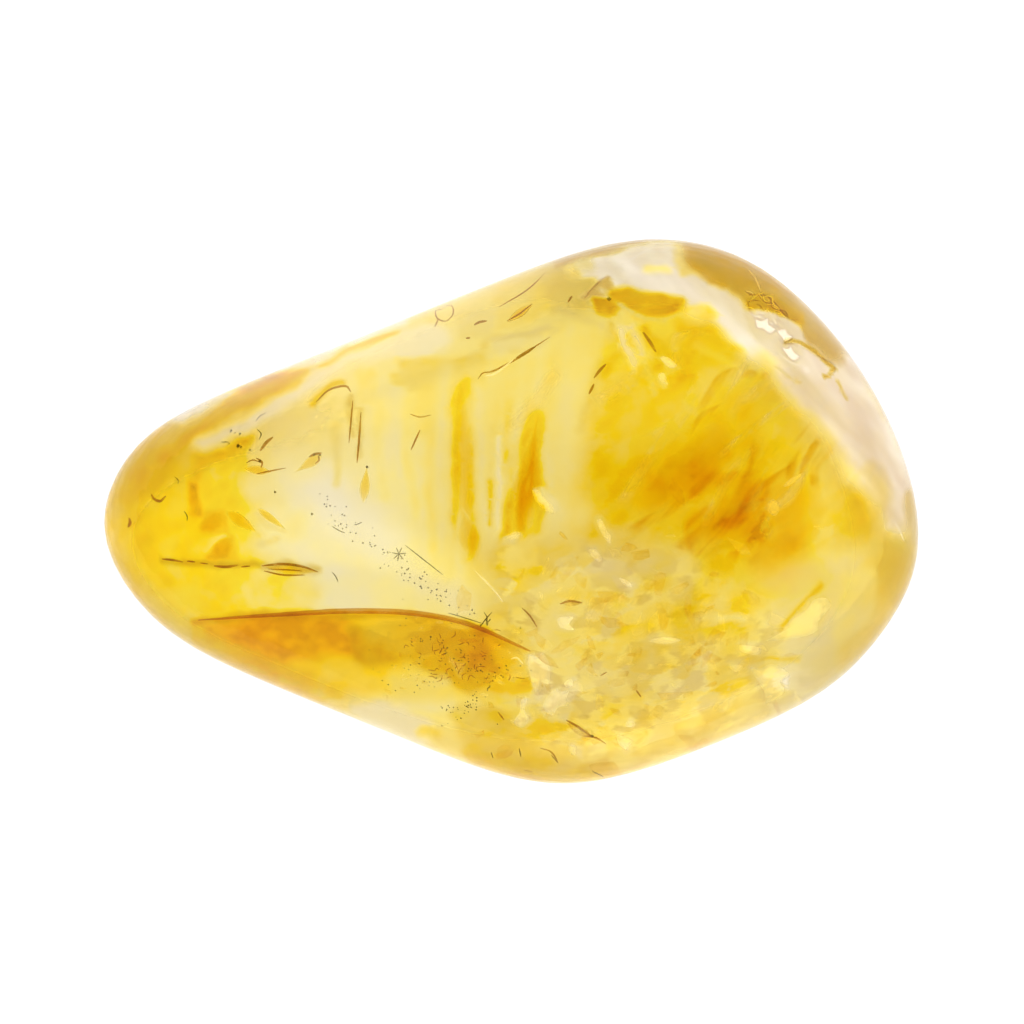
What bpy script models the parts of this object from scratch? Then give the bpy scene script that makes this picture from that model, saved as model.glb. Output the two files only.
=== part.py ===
"""Tumbled citrine: one pebble of clear yellow quartz, worn smooth and polished in a tumbler.

Run it with: blender --background --python part.py

Frame: metres, +Z up. The stone lies on its worn underside at z = 0. Its longest way runs along X with the
thin end at -X, and the middle of its outline is over the origin.

A tumbled stone is a broken lump whose flat breaks have worn until they run into each other. So the form is a
set of flats, blended by a soft maximum: a flat with more wear rolls over into its neighbours sooner.
"""

import math

import bmesh
import bpy
import numpy as np

MM = 0.001

# Driving dimensions, in millimetres.
LENGTH = 30.0  # along X, tip to butt
WEAR = 0.55  # how far the wear eats into an edge between two flats: larger is rounder
EDGE = 3.0  # height of the upright band round the outline, between the upper and the lower flats
BASE_DEPTH = 6.2  # from the middle of the form down to the flat that the stone rests on
BASE_WEAR = 0.12  # the resting flat is the newest break, so it is the least worn
SEAT = 0.04  # whatever comes this close to the resting flat lies in it
BALL_SHAPE = (1.0, 0.66, 0.45)  # the ball that is pressed to the form is drawn out like the stone
MESH_LEVEL = 5  # of that ball: 5120 triangles

# The sides of the outline, going round from the butt. Each is an upright flat with one above and one below:
# (direction in degrees from +X, reach, level of its middle, slope of the upper flat, slope of the lower flat).
# A slope is how far a flat's normal turns up or down from the horizontal, in degrees.
SIDES = (
    (2, 15.05, 0.6, 42, 40),  # butt
    (25, 14.15, 1.0, 38, 40),
    (47, 13.25, 0.9, 35, 40),  # steep shoulder, far right
    (80, 11.35, 0.5, 33, 42),  # top corner
    (112, 8.25, 0.0, 30, 44),  # long straight side of the crown
    (150, 13.3, -0.9, 40, 42),
    (180, 15.1, -1.7, 46, 34),  # thin end
    (214, 12.75, -1.7, 49, 36),
    (247.5, 8.65, -1.2, 46, 38),  # long broad flank, near side
    (272, 10.1, -0.9, 44, 38),  # near corner
    (292.5, 10.25, -0.4, 40, 40),
    (325, 13.4, 0.2, 42, 42),
)

# The flats of the crown and of the underside: (direction, slope, distance from the middle of the form).
CROWN = (
    (215, 84, 6.2),  # broad front face, tilted a little to the thin end
    (176, 71, 7.0),  # falls away to the thin end
    (330, 74, 7.5),  # falls away to the butt
    (75, 66, 7.6),
    (262, 64, 7.0),  # broken back above the near flank
)
UNDERSIDE = (
    (20, -68, 8.6),
    (185, -72, 7.9),
    (100, -62, 7.9),
    (285, -64, 8.0),
)

# Shallow hollows left by chips that the tumbling hasn't quite worn away:
# (direction, slope of the ray from the middle, depth, radius), lengths in millimetres.
HOLLOWS = (
    (238, 26, 0.32, 3.4),
    (318, 34, 0.16, 2.6),
    (58, 40, 0.14, 2.2),
    (140, -30, 0.22, 3.2),
)

CITRINE = (0.86, 0.56, 0.07)


def unit(direction, slope):
    """The unit vector that points this way, in degrees round from +X and up from the horizontal."""
    turn, rise = math.radians(direction), math.radians(slope)
    return np.array((math.cos(turn) * math.cos(rise), math.sin(turn) * math.cos(rise), math.sin(rise)))


def all_flats():
    """Every flat of the form, as arrays of normals, distances from the middle and wear."""
    flats = [(unit(direction, slope), distance, WEAR) for direction, slope, distance in CROWN + UNDERSIDE]
    for direction, reach, level, upper, lower in SIDES:
        for slope, height in ((0, level), (upper, level + EDGE / 2), (-lower, level - EDGE / 2)):
            rise = math.radians(slope)
            flats.append((unit(direction, slope), reach * math.cos(rise) + height * math.sin(rise), WEAR))
    flats.append((unit(0, -90), BASE_DEPTH, BASE_WEAR))
    return tuple(np.array(column) for column in zip(*flats))


def worn_radius(rays, halvings=40):
    """How far the worn form reaches along each unit ray from its middle, by halving the doubt."""
    normals, distances, wear = all_flats()
    facing = rays @ normals.T
    near, far = np.zeros(len(rays)), np.full(len(rays), LENGTH)
    for _ in range(halvings):
        radius = (near + far) / 2
        beyond = (facing * radius[:, None] - distances) / wear
        outside = np.exp(np.minimum(beyond, 1)).sum(axis=1) > 1
        far = np.where(outside, radius, far)
        near = np.where(outside, near, radius)
    return (near + far) / 2


def hollowed(points):
    """The points with the shallow hollows pressed in, each a smooth dip around its own spot."""
    for direction, slope, depth, radius in HOLLOWS:
        inward = -unit(direction, slope)
        spot = -inward * worn_radius(-inward[None])[0]
        apart = np.linalg.norm(points - spot, axis=1) / radius
        points = points + inward * (depth * np.exp(-(apart**2)))[:, None]
    return points


def seated(points):
    """The points with the resting flat at z = 0, dead flat, and the outline centred on the origin."""
    middle = (points.min(axis=0) + points.max(axis=0)) / 2
    points = points - (middle[0], middle[1], -BASE_DEPTH)
    points *= LENGTH / np.ptp(points[:, 0])
    points[points[:, 2] < SEAT, 2] = 0
    return points


def press_to_form(mesh):
    """Moves every vertex of the ball out to the stone's surface."""
    rays = np.array([vertex.co for vertex in mesh.verts]) * BALL_SHAPE
    rays /= np.linalg.norm(rays, axis=1)[:, None]
    points = seated(hollowed(rays * worn_radius(rays)[:, None]))
    for vertex, point in zip(mesh.verts, points * MM):
        vertex.co = point


def polished_quartz():
    material = bpy.data.materials.new("citrine")
    material.use_nodes = True
    shader = material.node_tree.nodes["Principled BSDF"]
    shader.inputs["Base Color"].default_value = (*CITRINE, 1)
    shader.inputs["Roughness"].default_value = 0.04
    shader.inputs["Metallic"].default_value = 0.0
    shader.inputs["IOR"].default_value = 1.544
    shader.inputs["Transmission Weight"].default_value = 1.0
    return material


def make_stone():
    mesh = bmesh.new()
    bmesh.ops.create_icosphere(mesh, subdivisions=MESH_LEVEL, radius=1)
    press_to_form(mesh)
    data = bpy.data.meshes.new("citrine")
    mesh.to_mesh(data)
    mesh.free()
    data.shade_smooth()
    data.materials.append(polished_quartz())
    stone = bpy.data.objects.new("citrine", data)
    bpy.context.scene.collection.objects.link(stone)
    return stone


def main():
    for old in list(bpy.data.objects):
        bpy.data.objects.remove(old)
    make_stone()


main()
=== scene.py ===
"""The tumbled citrine, dressed: a clear yellow quartz pebble with what is sealed in it."""

import math
import random

import bmesh
import bpy
import numpy as np
from mathutils import Matrix, Vector, noise
from mathutils.bvhtree import BVHTree


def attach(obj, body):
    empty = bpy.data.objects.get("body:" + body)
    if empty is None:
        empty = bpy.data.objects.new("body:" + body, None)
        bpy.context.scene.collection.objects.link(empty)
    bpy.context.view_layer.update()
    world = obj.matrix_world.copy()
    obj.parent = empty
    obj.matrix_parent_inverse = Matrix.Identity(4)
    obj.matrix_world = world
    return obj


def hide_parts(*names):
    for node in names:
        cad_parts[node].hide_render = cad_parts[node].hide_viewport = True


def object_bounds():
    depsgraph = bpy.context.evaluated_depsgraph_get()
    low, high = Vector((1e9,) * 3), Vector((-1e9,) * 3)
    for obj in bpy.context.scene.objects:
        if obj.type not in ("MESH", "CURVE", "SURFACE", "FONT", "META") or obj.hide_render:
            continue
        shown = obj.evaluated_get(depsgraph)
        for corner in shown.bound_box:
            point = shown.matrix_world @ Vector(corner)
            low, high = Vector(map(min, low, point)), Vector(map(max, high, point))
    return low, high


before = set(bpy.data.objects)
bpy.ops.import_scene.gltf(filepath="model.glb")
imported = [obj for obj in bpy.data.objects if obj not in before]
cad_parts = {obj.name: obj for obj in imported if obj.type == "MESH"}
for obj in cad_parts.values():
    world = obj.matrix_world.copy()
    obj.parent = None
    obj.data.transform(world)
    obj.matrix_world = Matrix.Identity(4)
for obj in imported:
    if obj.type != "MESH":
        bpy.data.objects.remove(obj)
CAD_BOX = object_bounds()

MM = 0.001

# The photograph: its side in pixels, and the stone's outline in it. It looks straight down.
PHOTO = 1024
OUTLINE_LEFT, OUTLINE_RIGHT = 102, 919
OUTLINE_TOP, OUTLINE_BOTTOM = 237, 786
PIXEL = (CAD_BOX[1][0] - CAD_BOX[0][0]) / (OUTLINE_RIGHT - OUTLINE_LEFT)
MIDDLE = ((OUTLINE_LEFT + OUTLINE_RIGHT) / 2, (OUTLINE_TOP + OUTLINE_BOTTOM) / 2)
GIRDLE = 6.0  # height of the stone's widest level over the floor, in millimetres
EYE = Vector((0, 0, 0.6))  # where the camera is, in metres

QUARTZ_IOR = 1.544
SKIN = 0.2  # the least depth, along the line of sight, at which a piece is placed in the stone, in millimetres
NOISE_SEED = 2  # without a seed, noise vectors differ from run to run
noise.seed_set(NOISE_SEED)


def place(x, y):
    """The point over this pixel of the photograph, at the level of the girdle, in metres."""
    return Vector(((x - MIDDLE[0]) * PIXEL, (MIDDLE[1] - y) * PIXEL, GIRDLE * MM))


def new_object(name, mesh):
    obj = bpy.data.objects.new(name, mesh)
    bpy.context.scene.collection.objects.link(obj)
    return obj


# ---------------------------------------------------------------- shader building


class Nodes:
    """A node tree under construction: each call adds one node and gives one of its output sockets. Colours
    are red, green and blue."""

    def __init__(self, tree):
        self.tree = tree

    def join(self, value, socket):
        if isinstance(value, bpy.types.NodeSocket):
            self.tree.links.new(value, socket)
        else:
            socket.default_value = (*value, 1) if socket.type == "RGBA" else value

    def add(self, kind, *values, output=0, settings=None, **inputs):
        """Values go to the node's first sockets in turn, inputs to the sockets of those names."""
        node = self.tree.nodes.new("ShaderNode" + kind)
        for key, value in (settings or {}).items():
            setattr(node, key, value)
        for value, socket in zip(values, node.inputs):
            self.join(value, socket)
        for key, value in inputs.items():
            self.join(value, node.inputs[key.replace("_", " ")])
        return node.outputs[output]

    def math(self, operation, *values):
        return self.add("Math", *values, settings={"operation": operation})


class Shader(Nodes):
    """A material under construction."""

    def __init__(self, name):
        self.material = bpy.data.materials.new(name)
        self.material.use_nodes = True
        super().__init__(self.material.node_tree)
        self.tree.nodes.clear()
        self.out = self.tree.nodes.new("ShaderNodeOutputMaterial")

    def attribute(self, name):
        return self.add("Attribute", output=2, settings={"attribute_name": name})

    def ramp(self, value, *stops, smooth=False):
        """Stops are places from 0 to 1, each with a colour or a number."""
        node = self.tree.nodes.new("ShaderNodeValToRGB")
        node.color_ramp.interpolation = "EASE" if smooth else "LINEAR"
        elements = node.color_ramp.elements
        while len(elements) < len(stops):
            elements.new(1.0)
        for element, (position, colour) in zip(elements, stops):
            element.position = position
            element.color = (*colour, 1) if isinstance(colour, tuple) else (colour, colour, colour, 1)
        self.join(value, node.inputs[0])
        return node.outputs[0]

    def multiplied(self, amount, colour, by):
        """The colour multiplied by another, in this amount."""
        node = self.tree.nodes.new("ShaderNodeMix")
        node.data_type = "RGBA"
        node.blend_type = "MULTIPLY"
        for value, socket in zip((amount, colour, by), (node.inputs[0], node.inputs[6], node.inputs[7])):
            self.join(value, socket)
        return node.outputs[2]

    def finish(self, surface, volume=None):
        self.material.cycles.emission_sampling = "NONE"
        self.tree.links.new(surface, self.out.inputs["Surface"])
        if volume:
            self.tree.links.new(volume, self.out.inputs["Volume"])
        return self.material


# ---------------------------------------------------------------- colour of the quartz

# Layers say what the quartz is like at each point of the stone's skin. Gold: 0 clear, 0.3 pale yellow, 0.6
# yellow, 1 orange. Rust: how far that turns to tan. Milk: how cloudy it is, and along the ridges a painted
# highlight that whitens the skin where a lamp's reflection lies. The others say how far the gold breaks up:
# into upright bands, into slanting feathers, or into crumbs. Here is what each starts from.
LAYERS = {"gold": 0.26, "rust": 0.0, "milk": 0.0, "bands": 0.0, "feathers": 0.0, "crumbs": 0.0}
BROAD = 20  # patches that fade over fewer pixels than this are marks on the upper side alone


def area(*corners, soft=14, **values):
    """A patch with these corners, in pixels, that fades out over soft pixels."""
    return {"points": corners, "closed": True, "soft": soft, "strength": 1.0, **values}


def line(*points, soft=10, strength=1.0, **values):
    """A streak along these pixels, soft pixels wide to each side."""
    return {"points": points, "closed": False, "soft": soft, "strength": strength, **values}


PATCHES = (
    # where the quartz is broken up
    area((445, 385), (600, 340), (600, 500), (560, 560), (460, 560), soft=45, bands=0.6),
    area((620, 380), (690, 330), (790, 390), (860, 470), (850, 560), (770, 600), (650, 560), (600, 480),
         soft=50, feathers=1.0, bands=0),
    area((520, 560), (640, 560), (740, 610), (790, 680), (660, 740), (560, 745), (510, 690), soft=40,
         crumbs=1.0, bands=0),
    area((370, 622), (480, 635), (510, 690), (430, 680), soft=20, crumbs=0.7),
    # pale middle left
    area((280, 420), (440, 345), (450, 560), (430, 590), (340, 590), (290, 540), soft=40, gold=0.2,
         milk=0.06),
    # The next three streaks whiten the lower-left ridge: a painted highlight, the soft reflection of a lamp.
    line((300, 480), (340, 520), (400, 560), (460, 605), soft=36, gold=0.16, milk=0.2),
    line((325, 488), (352, 514), (380, 542), soft=34, gold=0.03, milk=0.24),
    line((395, 556), (430, 585), (462, 607), soft=13, gold=0.1, milk=0.14),
    line((378, 400), (376, 440), (380, 500), soft=9, gold=0.3),
    line((392, 385), (394, 430), (398, 480), soft=7, gold=0.12),
    line((406, 392), (404, 450), (412, 520), soft=8, gold=0.31),
    line((428, 440), (426, 500), (434, 550), soft=9, gold=0.36),
    line((441, 392), (438, 440), (441, 500), soft=7, gold=0.12),
    line((315, 406), (321, 397), (331, 388), (343, 384), soft=7, gold=0.62, rust=0.5),
    line((352, 398), (350, 440), soft=5, gold=0.35, rust=0.6),
    line((360, 412), (357, 463), soft=5, gold=0.35, rust=0.6),
    line((336, 430), (334, 485), soft=9, gold=0.28, rust=0.3),
    area((362, 372), (374, 372), (372, 402), (362, 400), soft=8, gold=0.34),
    area((391, 371), (404, 371), (404, 379), (392, 380), soft=5, gold=0.45, rust=0.15),
    area((414, 366), (446, 361), (444, 430), (418, 430), soft=12, gold=0.37),
    # the tip
    area((118, 520), (150, 450), (235, 440), (250, 480), (238, 560), (300, 590), (200, 612), (140, 590),
         soft=36, gold=0.56),
    line((108, 500), (128, 458), (160, 430), soft=19, gold=0.48),
    line((105, 505), (110, 550), (128, 590), soft=19, gold=0.5),
    area((150, 600), (195, 590), (190, 622), (170, 620), soft=18, gold=0.34),
    line((140, 470), (140, 492), soft=14, gold=0.62),
    line((138, 539), (148, 539), soft=14, gold=0.64, rust=0.1),
    line((196, 472), (214, 452), (231, 444), (247, 436), soft=15, gold=0.76),
    area((190, 484), (195, 484), (199, 513), (188, 513), soft=6, gold=0.88),
    area((205, 513), (222, 511), (223, 529), (204, 529), soft=8, gold=0.8),
    area((209, 556), (218, 538), (230, 534), (234, 556), soft=6, gold=0.84),
    line((235, 561), (262, 565), soft=8, gold=0.74, rust=0.2),
    line((206, 548), (212, 539), (222, 533), soft=5, gold=0.4),
    area((228, 511), (244, 510), (256, 532), (240, 522), soft=4, gold=0.56),
    area((257, 510), (265, 512), (283, 529), (266, 522), soft=4, gold=0.45, rust=0.2),
    line((257, 541), (274, 537), soft=7, gold=0.42, rust=0.25),
    line((256, 486), (276, 502), (290, 526), soft=22, gold=0.34),
    area((252, 578), (296, 575), (314, 596), (258, 601), soft=16, gold=0.54),
    line((161, 558), (190, 561), (235, 564), (262, 566), soft=6, gold=0.66, rust=0.9),
    line((262, 566), (285, 564), (318, 572), soft=8, gold=0.5, rust=0.8),
    # flank of the crown; its whitish strips along the outline and along the ridge are painted highlights,
    # reflections of the lamps and the pale floor
    line((184, 413), (206, 401), (232, 389), soft=14, gold=0.0, milk=0.6),
    line((283, 366), (320, 350), (345, 339), (400, 318), soft=12, gold=0.02, milk=0.6),
    area((220, 412), (241, 392), (266, 380), (307, 369), (290, 385), (266, 399), (245, 413), (220, 426),
         (185, 443), (160, 458), (172, 443), (205, 424), soft=7, gold=0.74),
    line((266, 378), (285, 374), (306, 370), soft=6, gold=0.85),
    area((322, 364), (350, 346), (394, 333), (352, 354), soft=5, gold=0.95, rust=0.4),
    line((205, 441), (245, 421), (297, 391), (346, 360), (402, 343), (439, 339), soft=18, gold=0.06,
         rust=0.0, milk=0.26),
    # top, with painted highlight in the whitish patches at the ridge
    area((500, 276), (546, 272), (546, 307), (500, 307), soft=16, gold=0.4),
    area((553, 270), (595, 272), (590, 286), (556, 284), soft=8, gold=0.45),
    line((541, 267), (567, 258), soft=8, gold=0.64, rust=0.3),
    line((571, 268), (600, 268), soft=12, gold=0.05, rust=0.1, milk=0.4),
    line((483, 347), (493, 338), (518, 333), (539, 333), soft=6, gold=0.33, rust=0.35),
    area((498, 345), (539, 338), (535, 352), (505, 362), soft=10, gold=0.16),
    line((485, 364), (503, 362), soft=7, gold=0.5),
    area((400, 334), (424, 330), (440, 336), (424, 348), (402, 350), soft=14, gold=0.04, milk=0.24),
    area((400, 359), (420, 356), (446, 361), (444, 382), (404, 386), soft=8, gold=0.44, rust=0.2),
    area((453, 362), (478, 358), (474, 390), (457, 398), soft=8, gold=0.48, rust=0.3),
    area((494, 304), (530, 300), (536, 316), (500, 326), soft=9, gold=0.4, rust=0.15),
    area((460, 316), (490, 312), (492, 334), (464, 338), soft=8, gold=0.25, rust=0.25),
    area((541, 268), (574, 264), (578, 290), (548, 294), soft=9, gold=0.38, rust=0.2),
    area((552, 286), (586, 284), (582, 308), (556, 312), soft=9, gold=0.36, rust=0.35),
    line((496, 340), (524, 332), (552, 328), soft=5, gold=0.22, rust=0.4),
    line((510, 350), (540, 342), (560, 330), soft=4, gold=0.2, rust=0.3),
    area((541, 360), (570, 358), (568, 396), (546, 398), soft=9, gold=0.2),
    line((600, 352), (588, 376), (582, 420), soft=8, gold=0.52, rust=0.5),
    line((560, 312), (580, 322), (600, 328), soft=7, gold=0.22, rust=0.3),
    area((574, 345), (616, 345), (616, 390), (578, 392), soft=12, gold=0.43),
    # bands
    area((440, 390), (600, 350), (600, 500), (560, 560), (460, 560), soft=36, gold=0.295, rust=0.16),
    area((453, 390), (468, 384), (470, 430), (466, 480), (470, 512), (478, 548), (466, 562), (457, 520),
         (452, 450), soft=8, gold=0.56, rust=0.2),
    line((478, 392), (478, 440), (482, 500), (494, 540), soft=10, gold=0.15, rust=0.12),
    line((508, 405), (506, 440), (504, 470), soft=8, gold=0.42),
    line((498, 437), (497, 480), (500, 536), soft=6, gold=0.1, milk=0.2),
    line((489, 481), (490, 522), soft=5, gold=0.6, rust=0.3),
    area((536, 414), (542, 420), (542, 480), (536, 530), (508, 534), (514, 487), (523, 447), soft=11,
         gold=0.74, rust=0.2),
    line((559, 358), (560, 420), (550, 478), soft=17, gold=0.25, rust=0.2),
    line((548, 430), (546, 490), soft=6, gold=0.2),
    # heart
    area((610, 400), (690, 352), (780, 385), (850, 470), (862, 560), (830, 590), (760, 605), (690, 570),
         (640, 560), (595, 480), soft=36, gold=0.58, rust=0.3),
    area((676, 326), (720, 322), (738, 358), (690, 362), soft=12, gold=0.66),
    line((676, 330), (700, 324), (722, 322), soft=6, gold=0.75, rust=0.2),
    area((722, 486), (762, 484), (768, 535), (735, 545), (715, 520), soft=20, gold=0.86, rust=0.3),
    line((716, 532), (728, 518), (743, 506), soft=8, gold=0.92, rust=0.55),
    line((703, 562), (716, 553), (728, 545), soft=7, gold=0.86, rust=0.6),
    line((705, 424), (725, 412), (770, 407), soft=12, gold=0.7),
    area((775, 536), (794, 534), (792, 556), (776, 556), soft=9, gold=0.73),
    line((826, 517), (826, 556), soft=8, gold=0.64, rust=0.15),
    area((640, 470), (690, 470), (690, 520), (650, 520), soft=22, gold=0.67),
    line((625, 513), (615, 534), soft=9, gold=0.7, rust=0.4),
    line((598, 364), (590, 390), (580, 425), soft=8, gold=0.5, rust=0.4),
    area((768, 497), (779, 498), (780, 515), (769, 516), soft=5, gold=0.36),
    line((783, 485), (802, 473), soft=5, gold=0.4),
    area((775, 420), (820, 440), (830, 500), (815, 530), (785, 525), soft=26, gold=0.44, rust=0.1),
    # ridge and far flank: the whitish band along the ridge and the pale far flank are partly cloudiness and
    # partly painted highlight, the soft reflection of a lamp
    area((604, 258), (676, 256), (700, 276), (720, 288), (747, 316), (779, 350), (810, 385), (800, 398),
         (779, 374), (756, 349), (735, 330), (714, 314), (672, 302), (640, 290), (610, 290), soft=18,
         gold=0.02, rust=0.25, milk=0.62),
    area((790, 330), (838, 345), (870, 400), (905, 470), (918, 520), (894, 516), (864, 474), (844, 438),
         (818, 408), (796, 385), (780, 350), soft=28, gold=0.06, rust=0.62, milk=0.76),
    line((762, 360), (773, 396), (796, 420), (824, 444), (848, 474), soft=26, strength=0.85, gold=0.36,
         rust=0.36),
    area((600, 264), (624, 264), (622, 284), (606, 280), soft=6, gold=0.0, rust=0.2, milk=0.5),
    area((583, 299), (596, 285), (611, 275), (613, 284), (602, 296), soft=6, gold=0.32, rust=0.95, milk=0.4),
    line((602, 290), (610, 294), soft=6, gold=0.1, rust=0.4, milk=0.3),
    area((596, 304), (612, 302), (618, 310), (612, 317), (598, 315), soft=6, gold=0.95, rust=0.3, milk=0.1),
    line((555, 262), (590, 251), (620, 245), (650, 240), (680, 237), soft=9, gold=0.6, rust=1.0, milk=0.1),
    line((650, 266), (667, 265), soft=8, gold=0.3, rust=0.1),
    area((676, 248), (690, 248), (699, 268), (684, 268), soft=8, gold=0.3, rust=0.45),
    area((684, 240), (702, 239), (727, 262), (724, 284), (704, 270), (692, 255), soft=10, gold=0.52,
         rust=1.0),
    area((728, 246), (760, 262), (802, 304), (800, 318), (760, 300), (735, 285), (724, 262), soft=14,
         gold=0.52, rust=1.0, milk=0.1),
    area((802, 302), (838, 340), (834, 352), (800, 334), soft=16, gold=0.25, rust=0.95, milk=0.3),
    area((748, 291), (770, 289), (798, 316), (794, 329), (770, 320), (752, 308), soft=9, gold=0.6, rust=0.8),
    area((770, 308), (797, 314), (797, 328), (772, 322), soft=7, gold=0.68, rust=0.8),
    area((750, 316), (776, 316), (796, 330), (802, 350), (792, 364), (778, 354), (756, 338), soft=6,
         gold=0.05, rust=0.35, milk=0.5),
    line((784, 344), (798, 346), (812, 353), (828, 361), (835, 367), soft=4, gold=0.45, rust=0.8, milk=0.2),
    line((833, 368), (832, 376), (824, 374), soft=3, gold=0.4, rust=0.8, milk=0.2),
    line((840, 382), (844, 388), (848, 397), soft=3, gold=0.25, rust=0.6, milk=0.35),
    line((777, 367), (783, 371), (795, 382), soft=3, gold=0.2, rust=0.6, milk=0.35),
    line((872, 474), (880, 500), (879, 530), soft=19, strength=0.6, gold=0.25, rust=0.55, milk=0.2),
    line((914, 500), (916, 545), soft=14, gold=0.15, rust=0.6, milk=0.15),
    area((873, 531), (890, 533), (888, 556), (875, 556), soft=8, gold=0.32),
    # the flag and the orange bands at the top of the heart
    area((614, 294), (628, 290), (648, 296), (679, 300), (678, 306), (655, 314), (644, 320), (634, 316),
         (627, 307), (618, 303), soft=10, gold=0.8, rust=0.38, milk=0.14),
    line((634, 311), (655, 311), (673, 308), soft=7, gold=0.96, rust=0.35, milk=0.05),
    line((618, 306), (632, 316), (645, 322), (662, 322), soft=5, gold=0.22, rust=0.35, milk=0.1),
    area((680, 310), (708, 309), (716, 315), (700, 322), (684, 320), soft=8, gold=0.47),
    line((617, 334), (622, 350), (630, 364), soft=11, gold=0.1, rust=0.5, milk=0.45),
    line((629, 330), (636, 343), (641, 358), soft=8, gold=0.12, rust=0.45, milk=0.36),
    line((624, 337), (630, 348), soft=4, gold=0.45, rust=0.3),
    line((607, 326), (613, 344), (620, 360), soft=5, gold=0.5, rust=0.4),
    line((600, 330), (606, 346), soft=6, gold=0.25, rust=0.3),
    line((645, 366), (651, 378), (655, 392), soft=6, gold=0.25, rust=0.4, milk=0.1),
    line((643, 331), (649, 340), (656, 352), (657, 366), soft=7, gold=0.86, rust=0.4),
    line((645, 338), (664, 349), (682, 372), soft=11, gold=0.68, rust=0.4),
    line((596, 377), (605, 366), (612, 358), soft=8, gold=0.72, rust=0.45),
    line((668, 340), (700, 335), (740, 348), soft=9, gold=0.66, rust=0.2),
    line((686, 366), (700, 384), (716, 395), soft=9, gold=0.66, rust=0.3),
    line((700, 345), (722, 356), (742, 372), soft=7, gold=0.42, rust=0.1),
    # lower right
    area((690, 600), (860, 560), (880, 610), (820, 680), (720, 720), soft=30, gold=0.17, rust=0.27,
         milk=0.16),
    line((778, 627), (796, 613), (812, 597), (824, 582), soft=6, gold=0.76, rust=0.55),
    area((768, 641), (790, 629), (814, 608), (828, 592), (829, 573), (843, 564), (852, 572), (846, 610),
         (815, 638), (790, 642), soft=6, gold=0.15, milk=0.16),
    area((750, 668), (772, 664), (789, 674), (784, 690), (768, 703), (756, 692), soft=5, gold=0.04,
         milk=0.45),
    area((690, 646), (722, 644), (722, 684), (690, 686), soft=12, gold=0.46, rust=0.35),
    area((870, 560), (905, 560), (890, 630), (850, 660), soft=20, gold=0.37, rust=0.33),
    area((846, 576), (872, 570), (866, 616), (838, 634), soft=12, gold=0.24, rust=0.1),
    line((758, 655), (790, 652), (830, 646), soft=4, gold=0.2, rust=0.2),
    line((740, 664), (765, 660), (800, 660), soft=4, gold=0.5, rust=0.4),
    # crumbly mass
    area((500, 560), (640, 540), (740, 600), (750, 680), (640, 740), (560, 745), (540, 700), soft=40,
         gold=0.42, rust=0.44, milk=0.04),
    area((548, 575), (570, 569), (592, 578), (590, 600), (552, 600), soft=7, gold=0.52, rust=0.25),
    line((532, 580), (548, 582), soft=13, gold=0.25, rust=0.5),
    area((503, 642), (520, 646), (529, 660), (527, 684), (508, 690), soft=7, gold=0.7, rust=0.15),
    area((543, 707), (556, 688), (567, 690), (566, 714), (550, 714), soft=4, gold=0.1, milk=0.2),
    line((695, 628), (704, 616), (721, 613), soft=6, gold=0.3),
    line((722, 617), (742, 618), soft=8, gold=0.15, rust=0.3, milk=0.1),
    line((649, 641), (680, 640), soft=6, gold=0.18),
    # near corner
    area((460, 715), (540, 716), (600, 745), (600, 775), (540, 780), (480, 755), soft=16, gold=0.56,
         rust=0.52),
    line((470, 752), (520, 772), (570, 781), (620, 772), soft=12, gold=0.6, rust=0.3),
    line((620, 772), (680, 745), (760, 712), soft=12, gold=0.42, rust=0.5),
    area((620, 735), (760, 700), (750, 722), (660, 758), soft=14, gold=0.36, rust=0.45),
    # wedge
    area((193, 624), (258, 617), (307, 615), (400, 613), (445, 621), (487, 633), (517, 646), (528, 660),
         (500, 690), (440, 680), (380, 668), (340, 690), (300, 695), (250, 676), (195, 650), soft=8,
         gold=0.6),
    area((212, 632), (345, 620), (362, 648), (280, 652), soft=15, gold=0.96),
    line((215, 655), (270, 682), (320, 700), soft=12, gold=0.5),
    area((354, 628), (414, 626), (480, 640), (495, 665), (470, 690), (440, 675), (414, 661), (360, 661),
         soft=12, gold=0.66, rust=0.78),
    line((190, 623), (258, 618), (307, 615), (347, 613), soft=8, gold=0.86, rust=0.6),
    line((347, 613), (400, 615), (445, 621), (479, 631), (519, 649), soft=6, gold=0.66, rust=0.7),
    area((330, 668), (410, 670), (420, 684), (340, 686), soft=10, gold=0.5),
    area((396, 678), (445, 682), (452, 706), (406, 705), soft=12, gold=0.14),
    area((354, 708), (385, 705), (424, 728), (420, 740), (380, 730), soft=15, gold=0.06, rust=0.1, milk=0.3),
    line((421, 735), (438, 738), soft=8, gold=0.55),
)

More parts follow.
